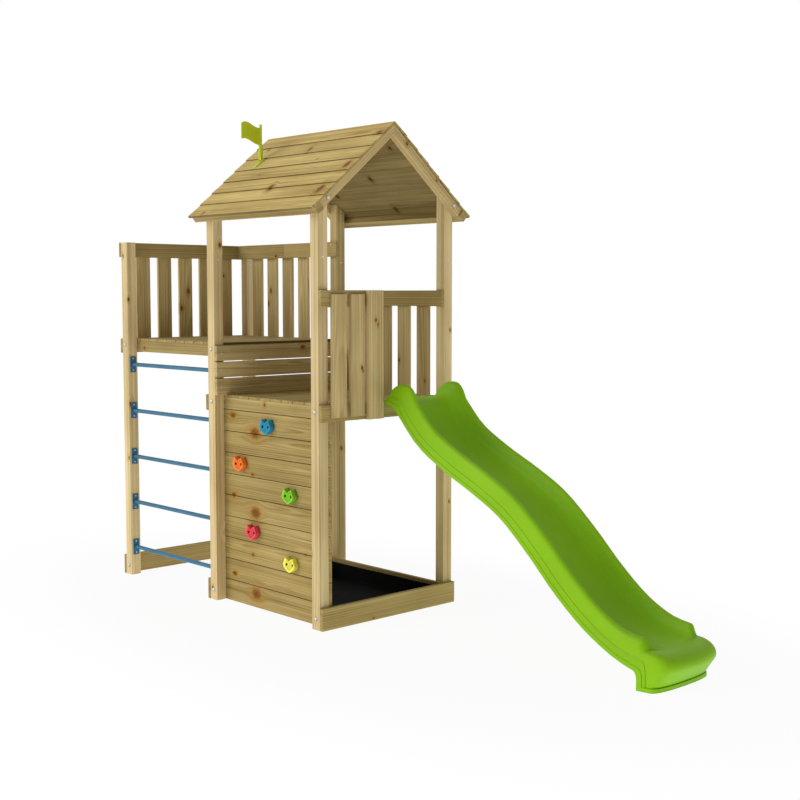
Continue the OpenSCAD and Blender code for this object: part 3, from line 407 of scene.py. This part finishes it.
# Share of the colour left on the faces of the roof boards that look down: painted shade
ROOF_PAINTED_SHADE = 0.35
for end, side, knots in (("front", -1, ROOF_KNOTS), ("back", 1, BACK_KNOTS)):
    up = Vector((0, -side * math.cos(ROOF_PITCH), math.sin(ROOF_PITCH)))
    eave = Vector((0, side * ROOF_EAVE_Y, ROOF_EAVE_Z)).dot(up)
    placed = [(x, eave + rise, half_l, half_w) for x, rise, half_l, half_w in knots]
    roof_row = (up, eave, ROOF_EXPOSURE)
    boards = timber("timber_roof_" + end, X, up, ROOF, roof_row, placed, joint_and_lap_shadow=ROOF_PAINTED_LAP_SHADOW, painted_down_shade=ROOF_PAINTED_SHADE)
    dress(boards, "roof_boards_" + end)
    rafters = ("rafter_right_" + end, "rafter_left_" + end)
    dress(timber("timber_rafter_" + end, up, up.cross(X), SIDE, knots=RAFTER_KNOTS), *rafters)


# Plastics and metals: a skin is the rate of its grain per metre and its relief in metres

FINE_SKIN = (900.0, 0.00012)
GRIP_SKIN = (420.0, 0.0007)
RIM_FRONT, RIM_BACK = 0.001, 0.007
CURVED = 35
HOLD_CURVED = 38
SLIDE_CURVED = 39.5
WELD_REACH = 0.00002


def plastic(name, tone, skin, roughness, painted_crease_shade=None, painted_rim_light=None):
    """Moulded plastic: faint clouds of colour, a fine skin and slight scuffs.

    The first optional argument is painted shade in inner corners: how far it reaches, in metres, and the
    share of the colour that it leaves. The second is the place along Y of a raised front edge: painted
    light on that edge, painted shade on what lies behind it.
    """
    t = material_tree(name)
    rate, relief = skin
    cloud = t.noise(t.place, (3.0, 3.0, 3.0), 3.0)
    pores = t.noise(t.place, (rate, rate, rate), 2.0)
    scuff = t.noise(t.place, (16.0, 90.0, 90.0), 3.0)
    colour = t.scale(tone, t.step(cloud, 0.25, 0.75, 0.95, 1.05))
    colour = t.scale(colour, t.step(pores, 0.2, 0.8, 0.96, 1.03))
    if painted_crease_shade:
        reach, left = painted_crease_shade
        # Painted shade: darker where occlusion finds an inner corner close by
        clear = t.add("ShaderNodeAmbientOcclusion", {"Distance": reach}, samples=8).outputs["AO"]
        colour = t.scale(colour, t.step(clear, 0.4, 0.95, left, 1.0))
    # Painted light and shade: the raised front edge paler, what lies behind it darker
    if painted_rim_light is not None:
        behind = t.dot(t.place, Y)
        colour = t.scale(colour, t.step(behind, painted_rim_light + RIM_FRONT, painted_rim_light + RIM_BACK, 1.35, 0.8))
    rough = t.plus(t.step(scuff, 0.35, 0.75, -0.04, 0.07), roughness)
    return t.surface(colour, rough, pores, relief, Specular_IOR_Level=0.14)


def painted(name, tone):
    """Powder coat on steel: orange-peel skin and rubbed spots."""
    t = material_tree(name)
    peel = t.noise(t.place, (700.0, 700.0, 700.0), 2.0)
    rub = t.noise(t.place, (9.0, 60.0, 60.0), 4.0)
    colour = t.scale(tone, t.step(rub, 0.3, 0.75, 0.92, 1.12))
    rough = t.step(rub, 0.3, 0.8, 0.48, 0.34)
    return t.surface(colour, rough, peel, 0.0002, Specular_IOR_Level=0.35)


def steel(name, tone):
    """Zinc-plated steel with turned marks."""
    t = material_tree(name)
    mark = t.noise(t.place, (900.0, 900.0, 160.0), 2.0)
    bloom = t.noise(t.place, (60.0, 60.0, 60.0), 3.0)
    colour = t.scale(tone, t.step(bloom, 0.25, 0.8, 0.85, 1.05))
    rough = t.step(mark, 0.2, 0.8, 0.26, 0.46)
    return t.surface(colour, rough, mark, 0.00006, Metallic=1.0)


def smooth(name, angle):
    """Smooth shading, with edges sharper than the angle kept crisp."""
    piece = nodes[name]
    normals = piece.data.attributes.get("custom_normal")
    if normals:
        piece.data.attributes.remove(normals)
    piece.data.shade_smooth()
    weld = piece.modifiers.new("weld", "WELD")
    weld.merge_threshold = WELD_REACH
    crisp = piece.modifiers.new("crisp", "EDGE_SPLIT")
    crisp.split_angle = math.radians(angle)


HOLD_TONES = {
    "blue": rgb(44, 146, 180), "orange": rgb(248, 126, 50), "green": rgb(132, 202, 46),
    "red": rgb(230, 74, 84), "yellow": rgb(242, 234, 92),
}
# Reach in metres and share of colour left, of the painted shade in inner corners
HOLD_PAINTED_SHADE = (0.02, 0.3)
SLIDE_PAINTED_SHADE = (0.008, 0.55)
RUNGS = ["rung_%d" % number for number in range(1, 6)]
FLAG_PARTS = ["flag_base", "flag_knuckle", "flag"]
FIXINGS = ["coach_screws", "hold_bolts", "flag_pin"]
dress(plastic("plastic_slide", rgb(134, 188, 12), FINE_SKIN, 0.45, SLIDE_PAINTED_SHADE), "slide")
dress(plastic("plastic_flag", rgb(198, 213, 40), FINE_SKIN, 0.4), *FLAG_PARTS)
for tone_name, tone in HOLD_TONES.items():
    hold = "hold_" + tone_name
    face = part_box(hold)[0].y
    dress(plastic("plastic_" + hold, tone, GRIP_SKIN, 0.55, HOLD_PAINTED_SHADE, face), hold)
    smooth(hold, HOLD_CURVED)
dress(painted("paint_rung", rgb(42, 106, 136)), *RUNGS)
dress(steel("steel_fixings", rgb(198, 196, 190)), *FIXINGS)
smooth("slide", SLIDE_CURVED)
for name in RUNGS + FLAG_PARTS + FIXINGS:
    smooth(name, CURVED)


def link(name, data):
    """A new object in the scene."""
    piece = bpy.data.objects.new(name, data)
    scene.collection.objects.link(piece)
    return piece


def link_mesh(name, mesh, material):
    """A new object from a finished edit mesh."""
    data = bpy.data.meshes.new(name)
    mesh.to_mesh(data)
    mesh.free()
    data.materials.append(material)
    return link(name, data)


# Sandpit liner: woven sheet laid in the pit, with its edges turned up

LINER_MARGIN = Vector((0.0012, 0.0012, 0.0008))
LINER_STEP = 0.02
LINER_MERGE = 0.0002
THREAD_PITCH = 0.0032
FOLD_HEIGHT = 0.006
FOLD_FADE = 0.06
LEAN = 0.002


def woven(name):
    """Woven black ground sheet."""
    t = material_tree(name)
    pitch = 2 * math.pi / THREAD_PITCH
    x, y, z = t.add("ShaderNodeSeparateXYZ", {0: t.place}).outputs
    warp = t.math("SINE", t.times(t.plus(x, z), pitch))
    weft = t.math("SINE", t.times(t.plus(y, z), pitch))
    weave = t.times(warp, weft)
    dust = t.noise(t.place, (5.0, 5.0, 5.0), 4.0)
    colour = t.mix(t.step(dust, 0.4, 0.8, 0.0, 0.5), rgb(8, 8, 9), rgb(16, 16, 15))
    colour = t.scale(colour, t.times_plus(weave, 0.18, 0.9))
    rough = t.times_plus(dust, 0.2, 0.75)
    return t.surface(colour, rough, weave, 0.0006, Specular_IOR_Level=0.08)


def lengths(low, high):
    """Lengths of a box along X, Y and Z."""
    return [top - bottom for bottom, top in zip(low, high)]


def liner_point(low, high, u, v):
    """Place of a flat point: inside the base it lies with slight folds, outside it stands up the side."""
    width, length, edge = lengths(low, high)
    up_u = max(-u, u - width, 0.0)
    up_v = max(-v, v - length, 0.0)
    rise = max(up_u, up_v)
    base = Vector((low.x + min(max(u, 0.0), width), low.y + min(max(v, 0.0), length), low.z))
    inset = min(base.x - low.x, high.x - base.x, base.y - low.y, high.y - base.y)
    fold = noise.noise(Vector((base.x * 5.0, base.y * 7.0, 1.7))) * 0.5 + 0.5
    fold += 0.5 * abs(noise.noise(Vector((base.x * 17.0, base.y * 13.0, 4.2))))
    base.z += rise + FOLD_HEIGHT * fold * min(inset / FOLD_FADE, 1.0)
    lean = LEAN * (noise.noise(Vector((base.x * 9.0, base.y * 9.0, 8.1))) + 1.0) * rise / edge
    centre = (low + high) / 2
    if up_u > 0:
        base.x += math.copysign(lean, centre.x - base.x)
    if up_v > 0:
        base.y += math.copysign(lean, centre.y - base.y)
    return base


def liner_cuts(total, edge):
    """Places of the grid lines over the base and the turned edges on both sides of it."""
    count = round(total / LINER_STEP)
    sides = round(edge / LINER_STEP)
    turned = [edge * k / sides for k in range(sides, 0, -1)]
    base = [total * k / count for k in range(count + 1)]
    return [-d for d in turned] + base + [total + d for d in turned[::-1]]


def make_liner():
    low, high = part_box("sandpit_liner")
    low, high = low + LINER_MARGIN, high - LINER_MARGIN
    width, length, edge = lengths(low, high)
    us, vs = liner_cuts(width, edge), liner_cuts(length, edge)
    mesh = bmesh.new()
    grid = {}
    for i, u in enumerate(us):
        for j, v in enumerate(vs):
            if 0 <= u <= width or 0 <= v <= length:
                grid[i, j] = mesh.verts.new(liner_point(low, high, u, v))
    for i in range(len(us) - 1):
        for j in range(len(vs) - 1):
            corners = [grid.get(key) for key in ((i, j), (i + 1, j), (i + 1, j + 1), (i, j + 1))]
            if all(corners):
                mesh.faces.new(corners)
    bmesh.ops.remove_doubles(mesh, verts=mesh.verts, dist=LINER_MERGE)
    piece = link_mesh("liner_sheet", mesh, woven("woven_liner"))
    piece.data.shade_smooth()
    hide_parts("sandpit_liner")
    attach(piece, "frame")


make_liner()


# Small screws: pan heads with a cross recess, in millimetres

MM = 0.001
SCREW_SIDES = 16
HEAD_RINGS = [(4.2, -0.6), (4.2, 0.3), (3.9, 1.1), (3.2, 1.7), (2.3, 2.0)]
CROSS_LONG, CROSS_SHORT = 1.7, 0.6
CROSS_TOP, CROSS_FLOOR = 2.0, 0.9

# Places of the screws on what they hold, in metres
SCREW_SINK = 0.0016
POST_SCREW_Z = 1.973
BACK_POST_SCREW_Z = 2.265
RAIL_SCREW_X = 0.052
RAIL_SCREW_Z = 0.018
INFILL_INSET = 0.033
BOARD_SHARES = (0.25, 0.75)
SLAT_SHARES = (-0.17, 0.17)
FLANGE_REACH = 0.036
FLANGE_PLATE = 0.004
LIP_INSET = 0.018
LIP_TOP = 1.2061
LIP_PLACES = (-0.15, -0.05, 0.05, 0.15)


def add_screw(mesh, place, facing):
    turn = Z.rotation_difference(facing).to_matrix()
    cross = [CROSS_LONG if k % 4 == 0 else CROSS_SHORT for k in range(SCREW_SIDES)]
    profile = [([radius] * SCREW_SIDES, height) for radius, height in HEAD_RINGS]
    profile += [(cross, CROSS_TOP), (cross, CROSS_FLOOR)]
    rings = []
    for radii, height in profile:
        ring = []
        for k, radius in enumerate(radii):
            angle = 2 * math.pi * k / SCREW_SIDES
            point = Vector((radius * math.cos(angle), radius * math.sin(angle), height)) * MM
            ring.append(mesh.verts.new(place + turn @ point))
        rings.append(ring)
    for lower, upper in zip(rings, rings[1:]):
        for k in range(SCREW_SIDES):
            m = (k + 1) % SCREW_SIDES
            mesh.faces.new((lower[k], lower[m], upper[m], upper[k]))
    mesh.faces.new(rings[-1])


def middle(name):
    low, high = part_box(name)
    return (low + high) / 2


def screw_places():
    """Place and facing of every small screw."""
    places = []

    # Posts, and the end of the back rail
    for name in LIT_POSTS + [BACK_POST]:
        places.append((Vector((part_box(name)[1].x, middle(name).y, POST_SCREW_Z)), X))
    places.append((Vector((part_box(BACK_POST)[1].x, middle(BACK_POST).y, BACK_POST_SCREW_Z)), X))
    low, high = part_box("balcony_rail_back_right")
    places.append((Vector((high.x - RAIL_SCREW_X, low.y, high.z - RAIL_SCREW_Z)), -Y))

    # Infill boards on the posts
    low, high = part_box("infill_boards")
    _, start, pitch = infill_row
    for row in range(INFILL_BOARDS):
        for y in (low.y + INFILL_INSET, high.y - INFILL_INSET):
            places.append((Vector((high.x - SCREW_SINK, y, start + pitch * (row + 0.5))), X))

    # Deck boards on their joists
    for deck in ("deck", "balcony"):
        boards = deck + "_boards"
        _, start, pitch = board_row(boards, X, DECK_BOARDS)
        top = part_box(boards)[1].z
        for row in range(DECK_BOARDS):
            for joist in ("front", "middle", "back"):
                y = middle(deck + "_joist_" + joist).y
                for share in BOARD_SHARES:
                    places.append((Vector((start + pitch * (row + share), y, top - SCREW_SINK)), Z))

    # Back slats on their joists and rails
    for slats, joist, rail in (
        ("slats_back", "deck_joist_back", "rail_back"),
        ("slats_balcony_back", "balcony_joist_back", "balcony_rail_back_left"),
    ):
        _, start, pitch = slat_row(slats, X, SLATS)
        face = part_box(slats)[1].y
        for row in range(SLATS):
            for name in (joist, rail):
                for share in SLAT_SHARES:
                    x = start + pitch * (row + 0.5 + share)
                    places.append((Vector((x, face, middle(name).z)), Y))

    # Rung flanges
    for name in RUNGS:
        low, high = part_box(name)
        centre = middle(name)
        for reach in (-FLANGE_REACH, FLANGE_REACH):
            places.append((Vector((low.x + FLANGE_PLATE, centre.y, centre.z + reach)), X))
            places.append((Vector((high.x - FLANGE_PLATE, centre.y, centre.z + reach)), -X))

    # Slide lip on the deck
    lip_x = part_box("slide")[0].x + LIP_INSET
    for reach in LIP_PLACES:
        places.append((Vector((lip_x, middle("slide").y + reach, LIP_TOP)), Z))
    return places


def make_screws():
    mesh = bmesh.new()
    for place, facing in screw_places():
        add_screw(mesh, place, facing)
    piece = link_mesh("wood_screws", mesh, steel("steel_screws", rgb(236, 232, 222)))
    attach(piece, "frame")


make_screws()


# Floor, light and camera

WHITE = (1.0, 1.0, 1.0, 1.0)
FLOOR_HALF = 40.0
FLOOR_Z = -0.001
FLOOR_TONE = (0.8, 0.8, 0.8, 1.0)
SHADOW_NEAR, SHADOW_FAR = 0.9, 1.9
SHADOW_WHITE = 0.94
HORIZON, ZENITH, GROUND = 0.05, 0.42, 0.95
SUN_TOWARDS = (0.6, 1.0, -0.6)
SUN_STRENGTH = 1.22
SUN_SOFTNESS = math.radians(35)
LENS_MM = 57.88
SENSOR_MM = 36.0
CAMERA_PLACE = (5.2090, -4.7420, 1.7846)
CAMERA_TILT = math.radians(85.2492)
CAMERA_TURN = math.radians(47.0245)


def seen_white(t):
    """1 where a ray shows the background: seen straight, mirrored or through glass."""
    path = t.add("ShaderNodeLightPath").outputs
    seen = t.math("MAXIMUM", path["Is Camera Ray"], path["Is Glossy Ray"])
    return t.math("MAXIMUM", seen, path["Is Transmission Ray"])


def make_floor():
    """White floor that keeps a faint shadow close to the piece, and throws even light back up."""
    signs = ((-1, -1), (1, -1), (1, 1), (-1, 1))
    mesh = bpy.data.meshes.new("floor")
    mesh.from_pydata([(x * FLOOR_HALF, y * FLOOR_HALF, FLOOR_Z) for x, y in signs], [], [(0, 1, 2, 3)])
    t = material_tree("floor_white")
    diffuse = t.add("ShaderNodeBsdfDiffuse", {"Color": FLOOR_TONE})
    glow = t.add("ShaderNodeEmission", {"Color": WHITE, "Strength": 1.0})
    seen = seen_white(t)
    reach = t.length(t.vector_math("MULTIPLY", t.place, (0.5, 1.0, 0.0)))
    share = t.times(seen, t.step(reach, SHADOW_NEAR, SHADOW_FAR, SHADOW_WHITE, 1.0))
    shown = t.add("ShaderNodeMixShader", {0: share, 1: diffuse.outputs[0], 2: glow.outputs[0]})
    bounce = t.add("ShaderNodeEmission", {"Strength": t.times(t.minus(1.0, seen), GROUND)})
    both = t.add("ShaderNodeAddShader", {0: shown.outputs[0], 1: bounce.outputs[0]})
    t.add("ShaderNodeOutputMaterial", {"Surface": both.outputs[0]})
    mesh.materials.append(t.owner)
    link("floor", mesh)


def make_world():
    """White where it is seen; for the light it is brighter overhead than at the horizon."""
    scene.world = bpy.data.worlds.new("studio")
    t = Tree(scene.world)
    up = t.math("ABSOLUTE", t.dot(t.coordinates["Generated"], Z))
    low = t.math("POWER", t.minus(1.0, up), 3.0)
    light = t.times_plus(low, HORIZON - ZENITH, ZENITH)
    seen = seen_white(t)
    strength = t.plus(t.times(light, t.minus(1.0, seen)), seen)
    sky = t.add("ShaderNodeBackground", {"Color": WHITE, "Strength": strength})
    t.add("ShaderNodeOutputWorld", {"Surface": sky.outputs[0]})


def make_sun():
    lamp = bpy.data.lights.new("key", "SUN")
    lamp.energy = SUN_STRENGTH
    lamp.angle = SUN_SOFTNESS
    link("key", lamp).rotation_euler = Vector(SUN_TOWARDS).to_track_quat("-Z", "Y").to_euler()


def make_camera():
    lens = bpy.data.cameras.new("camera")
    lens.lens = LENS_MM
    lens.sensor_width = SENSOR_MM
    camera = link("camera", lens)
    camera.location = CAMERA_PLACE
    camera.rotation_euler = Euler((CAMERA_TILT, 0.0, CAMERA_TURN))
    scene.camera = camera


make_floor()
make_world()
make_sun()
make_camera()
scene.view_settings.view_transform = "Standard"
